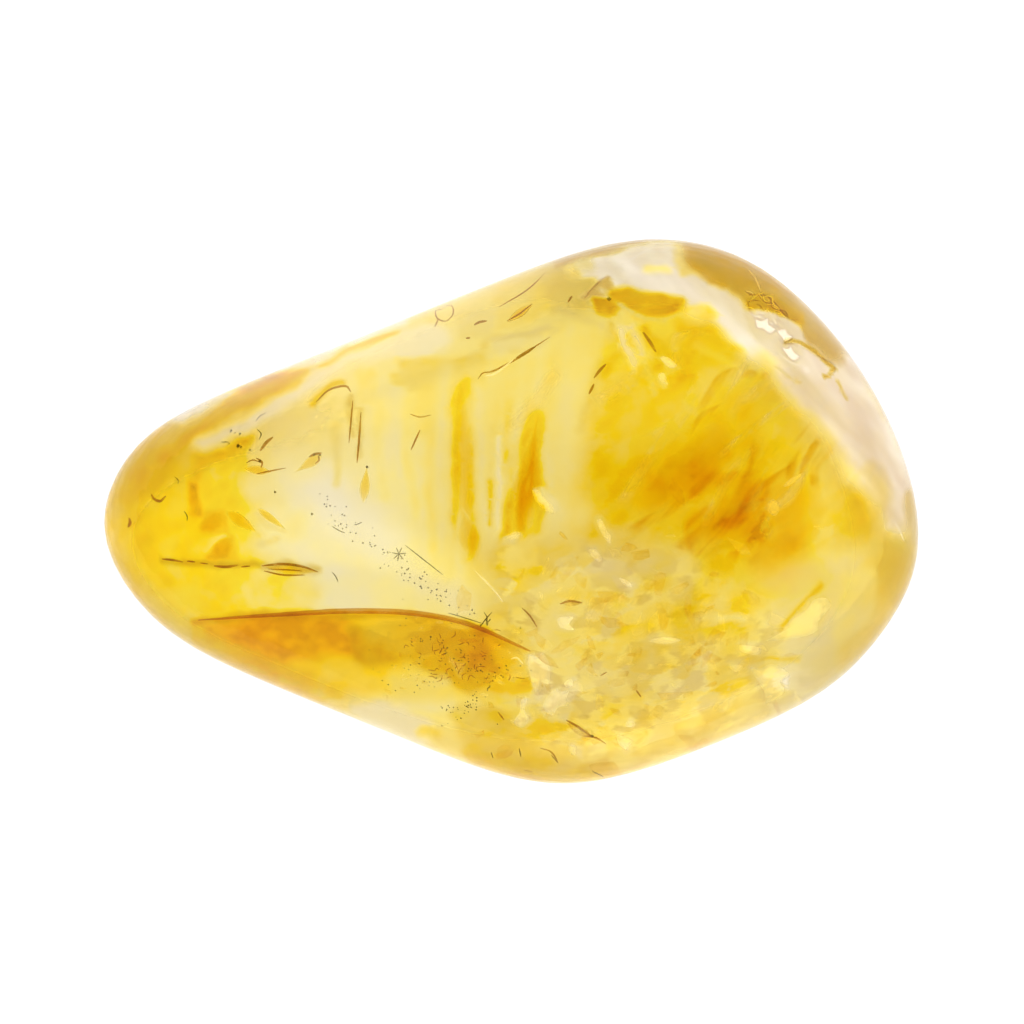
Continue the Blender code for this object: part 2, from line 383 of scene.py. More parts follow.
# The bright flakes that stand out one by one: their corners and how deep they lie, in millimetres.
CREAM_FLAKES = (
    (((543, 707), (547, 697), (556, 688), (560, 692), (569, 690), (566, 699), (569, 706), (558, 708),
      (552, 716)), 0.5),
    (((528, 655), (537, 657), (543, 653), (550, 668), (548, 686), (541, 683), (536, 694), (530, 676)), 1.1),
    (((521, 700), (527, 697), (525, 710), (529, 719), (522, 728), (514, 722), (520, 712)), 0.6),
    (((532, 491), (538, 490), (545, 499), (553, 506), (554, 514), (546, 511), (537, 503)), 0.6),
    (((508, 535), (515, 531), (521, 533), (517, 538), (508, 540)), 0.6),
    (((597, 521), (602, 520), (607, 531), (611, 536), (610, 544), (602, 534)), 0.8),
    (((589, 550), (595, 549), (602, 558), (599, 562), (592, 557)), 0.6),
    (((619, 578), (626, 580), (633, 586), (626, 586)), 0.6),
    (((766, 641), (780, 634), (790, 620), (806, 610), (814, 600), (826, 598), (830, 607), (818, 622),
      (816, 632), (798, 638)), 1.0),
    (((750, 668), (760, 669), (772, 664), (789, 674), (780, 682), (784, 692), (768, 703), (764, 690)), 0.8),
    (((660, 358), (667, 357), (677, 365), (670, 368)), 0.7),
    (((658, 375), (664, 373), (668, 384), (662, 382)), 0.6),
    (((617, 735), (624, 737), (633, 741), (629, 744), (627, 750), (619, 744)), 0.5),
    (((627, 721), (635, 722), (633, 727), (626, 726)), 0.5),
    (((570, 745), (576, 747), (574, 755), (569, 751)), 0.5),
    (((564, 683), (571, 679), (573, 686), (567, 688)), 0.5),
    (((558, 618), (573, 617), (569, 624), (574, 630), (561, 628)), 0.8),
    (((739, 645), (760, 648), (757, 655), (743, 652)), 0.8),
    (((728, 665), (743, 666), (736, 672)), 0.7),
    (((649, 641), (664, 637), (681, 640), (665, 644)), 0.9),
)
# Golden ones in the heart, and white chips by the crack on the far flank.
GOLD_FLAKES = (
    (((783, 486), (790, 479), (802, 473), (799, 479), (788, 486)), 0.6),
    (((768, 503), (773, 499), (778, 504), (779, 511), (775, 516), (769, 512)), 0.8),
    (((449, 657), (456, 662), (465, 664), (459, 674)), 1.0),
)
WHITE_CHIPS = (
    ((755, 319), (761, 321), (768, 318), (769, 325), (776, 329), (770, 334), (763, 329), (757, 328)),
    ((777, 331), (785, 329), (788, 334), (793, 337), (786, 342), (781, 337)),
    ((781, 347), (787, 349), (791, 346), (794, 352), (800, 357), (793, 361), (786, 354)),
    ((802, 367), (808, 366), (811, 372), (805, 374)),
)

# Over a flake the skin is clear enough for it to show.
FLAKE_SKIN = tuple(area(*corners, soft=5, gold=0.22, milk=0.1) for corners, _ in CREAM_FLAKES)
FLAKE_SKIN += tuple(area(*corners, soft=5, gold=0.36) for corners, _ in GOLD_FLAKES)

# The tints that the quartz goes through as its gold goes from 0 to 1.
CLEAR = (0.79, 0.75, 0.72)
CREAM = (0.92, 0.80, 0.30)
YELLOW = (0.95, 0.68, 0.004)
ORANGE = (0.86, 0.40, 0.0005)
BROWN = (0.64, 0.23, 0.0005)
TAN = (0.54, 0.40, 0.35)  # where there is rust, the tint is multiplied by this
AMBER = (0.967, 0.843, 0.0)  # what a thick piece of the deeper quartz lets through
THICK = (0.97, 0.82, 0.08)  # and one of the clear quartz
SHEEN = (1.0, 0.88, 0.05)  # tint of what the skin mirrors
HAZE = 0.4  # roughness of the skin for light that meets it from inside


def pixels_of(points):
    """The pixels at which the camera sees these points, which are in metres, as the rows of an array."""
    reach = (EYE.z - GIRDLE * MM) / (EYE.z - points[:, 2])
    x = MIDDLE[0] + points[:, 0] / PIXEL * reach
    y = MIDDLE[1] - points[:, 1] / PIXEL * reach
    return np.stack((x, y), axis=1)


def distance_to(pixels, patch):
    """How far each pixel is from the patch, 0 inside a closed one."""
    corners = np.array(patch["points"], float)
    ends = np.roll(corners, -1, axis=0) if patch["closed"] else corners[1:]
    starts = corners if patch["closed"] else corners[:-1]
    nearest = np.full(len(pixels), np.inf)
    inside = np.zeros(len(pixels), bool)
    for start, end in zip(starts, ends):
        way = end - start
        along = np.clip((pixels - start) @ way / (way @ way), 0, 1)
        nearest = np.minimum(nearest, np.linalg.norm(pixels - start - along[:, None] * way, axis=1))
        if patch["closed"]:
            crosses = (start[1] > pixels[:, 1]) != (end[1] > pixels[:, 1])
            where = start[0] + (pixels[:, 1] - start[1]) / (way[1] or 1e-9) * way[0]
            inside ^= crosses & (pixels[:, 0] < where)
    return np.where(inside, 0, nearest)


def ragged(points, size, reach):
    """A push in pixels for each point, from noise whose grain is this size in millimetres."""
    return np.array([noise.noise_vector(Vector(p) / size) for p in points])[:, :2] * reach


def turned(points, turn):
    """How far each point is along one direction of the floor, in degrees from +X, and how far beside it."""
    tilt = math.radians(turn)
    along = points[:, 0] * math.cos(tilt) + points[:, 1] * math.sin(tilt)
    beside = points[:, 1] * math.cos(tilt) - points[:, 0] * math.sin(tilt)
    return along, beside


def strokes(points, turn, length, width, seed):
    """For each point in millimetres a value from -1 to 1, in brush strokes that run along one direction."""
    along, beside = turned(points, turn)
    values = []
    for u, v, height in zip(along / length, beside / width, points[:, 2] / length):
        spot = Vector((u + seed, v, height))
        bent = spot + 0.7 * noise.noise_vector(spot * 0.6)
        values.append(noise.noise(bent) + 0.4 * noise.noise(spot * 2.3))
    return np.clip(np.array(values) * 2.2, -1, 1)


def shards(points, size, seed, turn=0, stretch=1.0):
    """For each point in millimetres a value from -1 to 1 that is the same all over each torn shard. Shards
    are stretched along one direction."""
    along, beside = turned(points, turn)
    values = []
    for u, v, height in zip(along / size / stretch, beside / size, points[:, 2] / size / stretch):
        spot = Vector((u + seed, v, height))
        spot += 0.55 * noise.noise_vector(spot * 1.7)
        middle = noise.voronoi(spot)[1][0]
        values.append(2 * noise.cell(middle * 7.3) - 1)
    return np.array(values)


def paint(mesh):
    """Lays the patches over each other on the skin and keeps its three colours as attributes of the mesh."""
    points = np.array([vertex.co for vertex in mesh.vertices])
    normals = np.array([vertex.normal for vertex in mesh.vertices])
    in_mm = points / MM
    pixels = pixels_of(points) + ragged(in_mm, 2.5, 7) + ragged(in_mm, 0.8, 3.5) + ragged(in_mm, 0.3, 1.0)
    detail = 1 - np.clip(-normals[:, 2] * 2, 0, 1)  # 0 on the underside, which nobody has seen
    layers = {name: np.full(len(points), start) for name, start in LAYERS.items()}
    for patch in PATCHES + FLAKE_SKIN:
        fade = np.clip(1 - distance_to(pixels, patch) / patch["soft"], 0, 1)
        cover = fade * fade * (3 - 2 * fade) * patch["strength"]
        if patch["soft"] < BROAD:
            cover *= detail
        for name, layer in layers.items():
            if name in patch:
                layer += cover * (patch[name] - layer)
    # Each line that follows says how much, where, and by which strokes or shards.
    gold, rust, milk, bands, feathers, crumbs = layers.values()
    torn = 0.6 * shards(in_mm, 1.6, 3, 30, 1.6) + 0.4 * shards(in_mm, 0.8, 8, 20, 1.8)
    gold *= 1 + 0.14 * detail * strokes(in_mm, 40, 1.4, 0.9, 12)
    gold *= 1 + 0.5 * detail * bands * strokes(in_mm, 87, 6.0, 0.55, 2)
    gold *= 1 + 0.07 * detail * feathers * strokes(in_mm, 50, 2.0, 0.7, 5)
    gold *= 1 + 0.13 * feathers * strokes(in_mm, 35, 4.0, 2.0, 9)
    gold *= 1 + 0.08 * detail * bands * shards(in_mm, 0.45, 41, 87, 9.0)
    gold *= 1 + 0.10 * detail * feathers * shards(in_mm, 0.8, 52, 42, 2.6)
    gold *= 1 + 0.26 * detail * crumbs * torn
    gold *= 1 + 0.22 * crumbs * strokes(in_mm, 20, 1.8, 0.9, 31)
    rust += 0.2 * detail * crumbs * shards(in_mm, 1.1, 14)
    milk += 0.08 * crumbs * np.clip(-torn - 0.3, 0, 1)
    clouds = strokes(in_mm, -50, 3.0, 0.8, 17)
    milk *= 1 + 0.25 * clouds * np.clip(2.5 * milk - 0.5, 0, 1)
    rust += 0.15 * milk * strokes(in_mm, -45, 2.0, 0.7, 23)
    veins = np.clip(strokes(in_mm, 52, 1.3, 0.5, 27), 0, 1)
    rust += 0.16 * detail * np.clip(2 * gold - 0.4, 0, 1) * veins
    # Painted shade: the gold deepens where the skin stands upright, darkening the stone along its outline.
    gold += 0.05 * np.clip(1 - np.abs(normals[:, 2]) / 0.15, 0, 1)  # deeper where the skin stands upright
    milk *= detail
    for name, layer in (("gold", gold), ("rust", rust), ("milk", milk)):
        values = np.clip(layer, 0, 1).astype(np.float32)
        mesh.attributes.new(name, "FLOAT", "POINT").data.foreach_set("value", values)


def quartz():
    """The stone's clear quartz, coloured by its gold and rust and clouded by its milk, which along the ridges
    is a painted highlight.
    """
    shader = Shader("clear_citrine")
    grain = shader.add("TexNoise", Vector=shader.add("TexCoord", output=3), Scale=1300.0, Detail=2.0)
    uneven = shader.math("ADD", shader.math("MULTIPLY", grain, 0.5), 0.75)
    depth = shader.math("MULTIPLY", shader.attribute("gold"), uneven)
    tint = shader.ramp(depth, (0.0, CLEAR), (0.25, CREAM), (0.55, YELLOW), (0.85, ORANGE), (1.0, BROWN))
    # The polish is sharp from outside. Light that meets the skin from inside is spread by the worn layer
    # under it.
    from_inside = shader.add("NewGeometry", output=6)
    surface = shader.add(
        "BsdfPrincipled",
        Base_Color=shader.multiplied(shader.attribute("rust"), tint, TAN),
        Roughness=shader.math("MULTIPLY", from_inside, HAZE),
        IOR=QUARTZ_IOR,
        Transmission_Weight=shader.math("SUBTRACT", 1.0, shader.attribute("milk")),
        Specular_Tint=SHEEN,
    )
    return shader.finish(surface, shader.add("VolumeAbsorption", Color=THICK, Density=22.0))


def amber(name, density, ior=1.0):
    """Deeper coloured quartz. Where its index is that of what is round it, only its colour shows."""
    shader = Shader(name)
    surface = shader.add(
        "BsdfPrincipled", Base_Color=(1, 1, 1), Roughness=0.0, IOR=ior, Transmission_Weight=1.0
    )
    return shader.finish(surface, shader.add("VolumeAbsorption", Color=AMBER, Density=density))


def film(
    name, colour, tint, body, glow=0.0, grain=1500.0, cover=(0.35, 0.6), across=None, stretch=(1, 1, 1),
    turn=0,
):
    """A healed crack. Its film scatters light of one colour (body: how much), adds a glow of it, which is
    painted
    light: an emission standing in for the glint of lamp light that the crack mirrors, and lets light of a tint
    through. Cover is the noise from which it starts and is whole. Across gives how much of it there is from
    one side of a veil to the other."""
    shader = Shader(name)
    point = shader.add(
        "VectorRotate", settings={"rotation_type": "Z_AXIS"}, Vector=shader.add("TexCoord", output=3),
        Angle=-math.radians(turn),
    )
    point = shader.add("VectorMath", point, stretch, settings={"operation": "MULTIPLY"})
    grains = shader.add("TexNoise", Vector=point, Scale=grain, Detail=2.0, Roughness=0.6, Distortion=0.4)
    amount = shader.ramp(grains, (cover[0], 0.0), (cover[1], 1.0))
    if across:
        beside = shader.ramp(shader.attribute("across"), *across, smooth=True)
        ends = ((0.0, 0.0), (0.15, 1.0), (0.85, 1.0), (1.0, 0.0))
        along = shader.ramp(shader.attribute("along"), *ends, smooth=True)
        amount = shader.math("MULTIPLY", shader.math("MULTIPLY", amount, beside), along)
    diffuse, through = shader.add("BsdfDiffuse", Color=colour), shader.add("BsdfTranslucent", Color=colour)
    lit = shader.add("MixShader", 0.5, diffuse, through)
    # Painted glint: the film glows as though it mirrored the lamps.
    if glow:
        lit = shader.add("AddShader", lit, shader.add("Emission", Color=colour, Strength=glow))
    solid = shader.add("MixShader", body, shader.add("BsdfTransparent", Color=tint), lit)
    return shader.finish(shader.add("MixShader", amount, shader.add("BsdfTransparent"), solid))


def dark(name, colour):
    shader = Shader(name)
    grain = shader.add("TexNoise", Vector=shader.add("TexCoord", output=3), Scale=2500.0, Detail=2.0)
    shade = shader.ramp(grain, (0.3, tuple(0.4 * share for share in colour)), (0.7, colour))
    return shader.finish(shader.add("BsdfPrincipled", Base_Color=shade, Roughness=0.5))


def pale_floor():
    shader = Shader("pale_floor")
    surface = shader.add(
        "BsdfPrincipled", Base_Color=(0.15, 0.15, 0.15), Roughness=0.6, Emission_Color=(1, 1, 1),
        Emission_Strength=0.94,
    )
    return shader.finish(surface)


# ---------------------------------------------------------------- the stone

SAME = 1e-6  # points that are no further apart than this, in metres, are one


def apply_modifiers(stone, **modifiers):
    """Applies these modifiers to the stone: for each its kind and its settings."""
    for kind, settings in modifiers.items():
        modifier = stone.modifiers.new(kind, kind)
        for key, value in settings.items():
            setattr(modifier, key, value)
    bpy.context.view_layer.update()
    shaped = stone.evaluated_get(bpy.context.evaluated_depsgraph_get())
    stone.data = bpy.data.meshes.new_from_object(shaped)
    stone.modifiers.clear()


def finer_on_top(mesh):
    """Cuts each face that shows from above into nine, because the markings are kept at the corners."""
    work = bmesh.new()
    work.from_mesh(mesh)
    edges = {edge for face in work.faces if face.normal.z > -0.05 for edge in face.edges}
    bmesh.ops.subdivide_edges(work, edges=list(edges), cuts=2, use_grid_fill=True)
    work.to_mesh(mesh)
    work.free()


def make_stone():
    """The polished surface: the solid's own form, made fine and smooth, and smoothest round the seat."""
    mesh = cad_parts["citrine"].data.copy()
    mesh.name = "stone"
    work = bmesh.new()
    work.from_mesh(mesh)
    bmesh.ops.remove_doubles(work, verts=work.verts, dist=SAME)
    work.to_mesh(mesh)
    work.free()
    stone = new_object("stone", mesh)
    seat = stone.vertex_groups.new(name="seat")
    for vertex in mesh.vertices:
        weight = 2 - vertex.co.z / MM  # whole up to 1 mm over the floor, none from 2 mm
        seat.add([vertex.index], max(0.0, min(1.0, weight)), "REPLACE")
    apply_modifiers(
        stone, SUBSURF={"levels": 1, "render_levels": 1}, SMOOTH={"factor": 0.5, "iterations": 12}
    )
    apply_modifiers(stone, SMOOTH={"factor": 0.5, "iterations": 140, "vertex_group": "seat"})
    finer_on_top(stone.data)
    apply_modifiers(stone, SMOOTH={"factor": 0.5, "iterations": 20})
    paint(stone.data)
    stone.data.materials.clear()
    stone.data.materials.append(quartz())
    stone.data.shade_smooth()
    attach(stone, "root")
    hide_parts("citrine")
    return stone


# ---------------------------------------------------------------- finding places inside the stone

# A pixel off the stone, or where the skin is too steep to look through, is moved towards the middle in steps.
STEEPEST = 0.2  # cosine between the skin's normal and the line of sight
STEP_IN = 0.01  # share of what is left of the way
MOST_STEPS = 60
VEIL = 0.04  # thickness of a veil, in millimetres
CHIP = 0.05  # thickness of a chip


class Inside:
    """Finds the point that is seen at a pixel of the photograph, at some depth under the stone's surface."""

    def __init__(self, stone):
        corners = [vertex.co for vertex in stone.data.vertices]
        self.tree = BVHTree.FromPolygons(corners, [tuple(face.vertices) for face in stone.data.polygons])

    def sight(self, x, y):
        """Where the line of sight enters the stone, which way it goes on, and how many millimetres to the
        other side."""
        for _ in range(MOST_STEPS):
            ray = (place(x, y) - EYE).normalized()
            entry, normal, _, _ = self.tree.ray_cast(EYE, ray)
            if entry is not None and -normal.dot(ray) > STEEPEST:
                break
            x, y = x + (MIDDLE[0] - x) * STEP_IN, y + (MIDDLE[1] - y) * STEP_IN
        cosine = -normal.dot(ray)
        ratio = 1 / QUARTZ_IOR
        bent = ratio * ray + (ratio * cosine - math.sqrt(1 - ratio**2 * (1 - cosine**2))) * normal
        _, _, _, length = self.tree.ray_cast(entry + bent * SAME, bent)
        return entry, bent, (length or 0) / MM

    def point(self, x, y, depth):
        entry, bent, length = self.sight(x, y)
        depth = min(max(depth, SKIN), max(length - SKIN, length / 2))
        return entry + bent * depth * MM

    def shows(self, x, y):
        """Whether the stone is there at this pixel."""
        return self.tree.ray_cast(EYE, place(x, y) - EYE)[0] is not None

    def clear_of_skin(self, spot, reach):
        """Whether everything within this reach of the point, in millimetres, is in the stone."""
        return self.tree.find_nearest(spot)[3] > reach * MM


class Heap:
    """Many small closed shapes, gathered into the mesh of one object. Depths and thicknesses are in
    millimetres, and what lies across the view is in pixels, unless a method says otherwise."""

    def __init__(self, name, inside):
        self.name, self.inside = name, inside
        self.points, self.faces = [], []
        self.along, self.across = [], []

    def add(self, points, faces):
        first = len(self.points)
        self.points += points
        self.faces += [[first + corner for corner in face] for face in faces]
        self.along += [0.5] * (len(self.points) - len(self.along))
        self.across += [0.5] * (len(self.points) - len(self.across))

    def pillow(self, outline, depth, thickness, tilt=(0, 0), rings=3, edge=0.5):
        """A lens with this outline. Depth is the middle's, tilt how much deeper it gets to the right and
        downwards, edge how fast it thins out: towards 0 it has a wall round it."""
        outline = np.array(outline, float)
        middle = outline.mean(axis=0)
        count = len(outline)
        points, faces, start = [], [], {}
        for side in (-1, 1):
            for ring in range(rings + 1):
                if side == 1 and ring == rings:
                    start[1, ring] = start[-1, ring]
                    continue
                share = ring / rings
                start[side, ring] = len(points)
                half = side * thickness / 2 * (1 - share**2) ** edge
                for spot in middle + (outline - middle) * share if ring else [middle]:
                    slope = np.dot(spot - middle, tilt) * PIXEL / MM
                    points.append(self.inside.point(spot[0], spot[1], depth + half + slope))
        for side in (-1, 1):
            for k in range(count):
                after = (k + 1) % count
                fans = [[start[side, 0], start[side, 1] + k, start[side, 1] + after]]
                for ring in range(1, rings):
                    near, far = start[side, ring], start[side, ring + 1]
                    fans.append([near + k, far + k, far + after, near + after])
                faces += [fan if side == -1 else fan[::-1] for fan in fans]
        self.add(points, faces)

    def veil(self, upper, lower, depths, columns, rows, wave, seed=0):
        """A thin sheet between two paths. Depths are how deep it lies at each; wave ripples it."""
        upper, lower = resampled(upper, columns), resampled(lower, columns)
        points, faces = [], []
        for side in (-1, 1):
            for row in range(rows):
                down = row / (rows - 1)
                for column in range(columns):
                    spot = upper[column] * (1 - down) + lower[column] * down
                    depth = depths[0] * (1 - down) + depths[1] * down
                    depth += wave * noise.noise(Vector((spot[0] * 0.03, spot[1] * 0.03, seed)))
                    points.append(self.inside.point(spot[0], spot[1], depth + side * VEIL / 2))
                    self.along.append(column / (columns - 1))
                    self.across.append(down)
        layer = rows * columns
        for row in range(rows - 1):
            for column in range(columns - 1):
                corner = row * columns + column
                quad = [corner, corner + 1, corner + columns + 1, corner + columns]
                faces += [quad, [layer + c for c in quad[::-1]]]
        rim = list(range(columns)) + [row * columns + columns - 1 for row in range(1, rows)]
        rim += [(rows - 1) * columns + column for column in range(columns - 2, -1, -1)]
        rim += [row * columns for row in range(rows - 2, 0, -1)]
        for corner, after in zip(rim, rim[1:] + rim[:1]):
            faces.append([after, corner, layer + corner, layer + after])
        self.add(points, faces)

    def thread(self, path, radius, depth=0.8, sides=5):
        """A fine closed tube along this path, thinning out at both ends."""
        path = [self.inside.point(x, y, depth) for x, y in path]
        points, faces = [], []
        for index, spot in enumerate(path):
            ahead = path[min(index + 1, len(path) - 1)] - path[max(index - 1, 0)]
            across = ahead.cross(Vector((0.3, 0.2, 1))).normalized()
            other = ahead.cross(across).normalized()
            taper = math.sin(math.pi * (index + 0.35) / (len(path) - 0.3)) ** 0.5
            for k in range(sides):
                turn = 2 * math.pi * k / sides
                way = across * math.cos(turn) + other * math.sin(turn)
                points.append(spot + way * radius * taper * PIXEL)
        for index in range(len(path) - 1):
            for k in range(sides):
                near, far, after = index * sides, (index + 1) * sides, (k + 1) % sides
                faces.append([near + k, near + after, far + after, far + k])
        faces.append(list(range(sides))[::-1])
        faces.append([len(points) - sides + k for k in range(sides)])
        self.add(points, faces)

    def dot(self, x, y, radius, depth=0.7):
        """A speck: a small eight-sided grain."""
        middle = self.inside.point(x, y, depth)
        ways = [Vector(w) for w in ((1, 0, 0), (0, 1, 0), (-1, 0, 0), (0, -1, 0), (0, 0, 1), (0, 0, -1))]
        faces = [[k, (k + 1) % 4, 4] for k in range(4)] + [[(k + 1) % 4, k, 5] for k in range(4)]
        self.add([middle + way * radius * PIXEL for way in ways], faces)

    def chip(self, spot, normal, reach, shuffle):
        """A flat flake of irregular outline round this point, half as wide as long. Its reach is in
        millimetres."""
        sides = shuffle.randint(4, 7)
        start = Matrix.Rotation(shuffle.uniform(-0.2, 1.4), 3, "Z")
        if not self.inside.clear_of_skin(spot, reach + CHIP):
            return
        turn = normal.to_track_quat("Z", "Y").to_matrix()
        points = []
        for k in range(sides):
            angle = 2 * math.pi * (k + 0.5 * shuffle.random()) / sides
            size = reach * (0.35 + 0.65 * shuffle.random())
            corner = start @ Vector((math.cos(angle) * size, math.sin(angle) * size * 0.5, 0))
            points.append(spot + turn @ corner * MM)
        points += [spot + normal * side * CHIP / 2 * MM for side in (1, -1)]
        faces = []
        for k in range(sides):
            after = (k + 1) % sides
            faces += [[k, after, sides], [after, k, sides + 1]]
        self.add(points, faces)

    def build(self, dress, *look, smooth=True, **settings):
        """Makes the object. Dress is the function that makes its material; look and settings are for it."""
        mesh = bpy.data.meshes.new(self.name)
        mesh.from_pydata([tuple(p) for p in self.points], [], self.faces)
        for name, values in (("along", self.along), ("across", self.across)):
            attribute = mesh.attributes.new(name, "FLOAT", "POINT")
            attribute.data.foreach_set("value", np.array(values, np.float32))
        work = bmesh.new()
        work.from_mesh(mesh)
        bmesh.ops.recalc_face_normals(work, faces=work.faces)
        work.to_mesh(mesh)
        work.free()
        if smooth:
            mesh.shade_smooth()
        mesh.materials.append(dress(self.name, *look, **settings))
        obj = new_object(self.name, mesh)
        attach(obj, "root")


def resampled(path, count):
    """The path through these pixels, in so many even steps."""
    path = np.array(path, float)
    steps = np.concatenate(([0], np.cumsum(np.linalg.norm(np.diff(path, axis=0), axis=1))))
    places = np.linspace(0, steps[-1], count)
    return np.stack((np.interp(places, steps, path[:, 0]), np.interp(places, steps, path[:, 1])), axis=1)


def spline(a, b, c, d, steps):
    """The stretch from b up to c of the smooth curve through these four points."""
    stretch = []
    for step in range(steps):
        t = step / steps
        stretch.append(
            0.5 * (2 * b + (c - a) * t + (2 * a - 5 * b + 4 * c - d) * t**2 + (3 * b - a - 3 * c + d) * t**3)
        )
    return stretch


def curve(*knots, per_step=6):
    """A smooth open path through these pixels."""
    knots = [np.array(knot, float) for knot in knots]
    padded = [2 * knots[0] - knots[1]] + knots + [2 * knots[-1] - knots[-2]]
    path = []
    for four in zip(padded, padded[1:], padded[2:], padded[3:]):
        path += spline(*four, per_step)
    return path + [knots[-1]]


def rounded(corners, per_side=3):
    """A smooth closed outline through these corners."""
    corners = [np.array(corner, float) for corner in corners]
    outline = []
    for k in range(len(corners)):
        outline += spline(*(corners[(k + j) % len(corners)] for j in (-1, 0, 1, 2)), per_side)
    return outline


def leaf(start, end, width, bulge=0.5):
    """A pointed outline from one pixel to another. Bulge is where along it the widest place is."""
    start, end = np.array(start, float), np.array(end, float)
    way = end - start
    side = np.array((-way[1], way[0])) / np.linalg.norm(way)
    power = math.log(0.5) / math.log(bulge)
    outline = []
    for sign, shares in ((1, np.linspace(0, 1, 9)), (-1, np.linspace(1, 0, 9))):
        for share in shares[:-1]:
            half = math.sin(math.pi * share**power) * width / 2
            outline.append(start + way * share + side * half * sign)
    return outline


def oval(centre, along, across, turn, uneven=0.0, count=28):
    """An oval outline, its turn in degrees anticlockwise. Uneven is how wavy its edge is."""
    shuffle = random.Random(1)
    waves = [(n, shuffle.random() * 6.28, uneven / n**0.5) for n in (2, 3, 5, 7, 9)]
    tilt = math.radians(turn)
    outline = []
    for k in range(count):
        angle = 2 * math.pi * k / count
        size = 1 + sum(height * math.sin(n * angle + phase) for n, phase, height in waves)
        u, v = along * size * math.cos(angle), across * size * math.sin(angle)
        x = centre[0] + u * math.cos(tilt) - v * math.sin(tilt)
        outline.append((x, centre[1] - u * math.sin(tilt) - v * math.cos(tilt)))
    return outline


# ---------------------------------------------------------------- what is sealed in the stone

# Swarms of crumbs: how many, the middle and the spread of where, and the least and the most reach in
# millimetres.
SWARMS = (
    (80, (610, 640), (75, 60), (0.2, 0.8)),
    (60, (560, 690), (45, 35), (0.15, 0.6)),
    (40, (720, 650), (60, 45), (0.2, 0.8)),
    (50, (450, 660), (35, 18), (0.1, 0.35)),
)
CRUMB_DEPTHS = (0.4, 4.5)
CRUMB_LEAN = 0.45  # spread of how far one leans from the level
# Kinds of crumbs: the share of each among them, then its film's colour, tint, body, glow (a painted glint) and
# cover.
CRUMBS = {
    "cream_crumbs": (5, (1.0, 0.93, 0.58), (1, 0.98, 0.80), 0.25, 0.45, (0.3, 0.7)),
    "gold_crumbs": (4, (0.97, 0.82, 0.32), (0.98, 0.90, 0.56), 0.1, 0.2, (0.3, 0.7)),
    "tan_crumbs": (2, (0.88, 0.72, 0.40), (0.95, 0.88, 0.68), 0.1, 0.2, (0.35, 0.7)),
}
# Kinds of flakes: where they are, then the film's colour, tint, body and glow, which is a painted glint.
FLAKES = {
    "cream_flakes": (CREAM_FLAKES, (1.0, 0.94, 0.62), (1, 0.99, 0.80), 0.5, 0.45),
    "gold_flakes": (GOLD_FLAKES, (1.0, 0.86, 0.34), (1, 0.97, 0.70), 0.35, 0.4),
}
FLAKE_LEAN = (-0.03, -0.2)
TAN_LENSES = (
    leaf((533, 650), (559, 668), 9),
    leaf((567, 723), (593, 738), 9),
    leaf((564, 605), (583, 602), 5),
)
AMBER_LENSES = (
    leaf((226, 511), (256, 532), 12, 0.4),
    leaf((257, 508), (285, 529), 7, 0.4),
    leaf((294, 473), (323, 454), 11, 0.65),
    leaf((244, 468), (271, 472), 9),
    leaf((367, 466), (363, 504), 10, 0.6),
    leaf((507, 322), (533, 304), 8),
    leaf((262, 567), (318, 572), 10),
)

# The heart's feathers: how many, and the middle and the spread of where.
FEATHERS = (26, (725, 470), (62, 60))
FEATHER_TURN, FEATHER_TURN_SPREAD = 50, 16  # degrees anticlockwise from +X
FEATHER_LENGTHS, FEATHER_WIDTHS = (50, 120), (10, 26)
FEATHER_BEND = 12
FEATHER_DEPTHS = (0.8, 4.5)
GOLD_FEATHERS = 0.6  # the share that is gold; the others are cream

# Stars of needles: the middle, how many needles, and how long they are in pixels.
STARS = (((399, 554), 7, 7), ((488, 622), 3, 4))
# The paths of the other needles.
NEEDLES = (
    ((448, 613), (462, 617), (484, 624)), ((480, 627), (485, 620), (492, 612)),
    ((484, 612), (487, 618), (486, 625)), ((221, 442), (229, 442)), ((257, 429), (261, 434), (259, 440)),
    ((405, 545), (424, 560), (443, 575)), ((332, 572), (336, 577), (338, 582)),
    ((354, 525), (358, 524), (362, 522)), ((332, 526), (338, 530), (345, 533)),
    ((256, 421), (260, 416), (266, 413)), ((491, 752), (493, 758)), ((519, 748), (521, 757)),
    ((551, 755), (558, 763)), ((592, 771), (604, 777)), ((184, 511), (187, 516), (187, 521)),
    ((175, 477), (178, 480), (178, 484)),
)
# The larger specks: x, y and radius, in pixels.
SPECKS = (
    (231, 431, 1.9), (240, 434, 1.7), (238, 446, 2.2), (235, 433, 0.9), (241, 447, 1.2), (229, 444, 1.0),
    (250, 450, 1.2), (225, 442, 1.2), (275, 492, 1.5), (312, 514, 1.5), (260, 461, 2.0), (314, 455, 1.4),
    (320, 455, 1.3), (609, 299, 2.6), (367, 467, 1.6), (592, 736, 2.2), (706, 283, 1.6), (641, 288, 1.4),
)
# Trails of tiny specks: how many, and the path along which they lie.
TRAILS = (
    (46, (367, 543), (398, 559), (430, 585), (473, 611)),
    (34, (330, 520), (360, 540), (400, 575), (440, 600)),
    (46, (503, 667), (493, 678), (483, 690), (473, 704), (459, 707), (438, 709)),
    (12, (473, 704), (463, 714), (449, 725)), (30, (420, 640), (450, 650), (480, 670)),
    (14, (300, 490), (340, 510), (370, 530)),
)
TRAIL_SPREAD = (4, 3)
TINY, TINIEST = (0.6, 1.2), (0.5, 1.0)  # the least and the most radius, in trails and by the wedge
JUST_UNDER = (0.2, 0.4)  # how deep they lie
# The specks by the wedge, and the crackle there: how many, and the middle and the spread of where.
WEDGE_SPECKS = (80, (448, 662), (36, 22))
WEDGE_CRACKLE = (40, (450, 656), (32, 16))
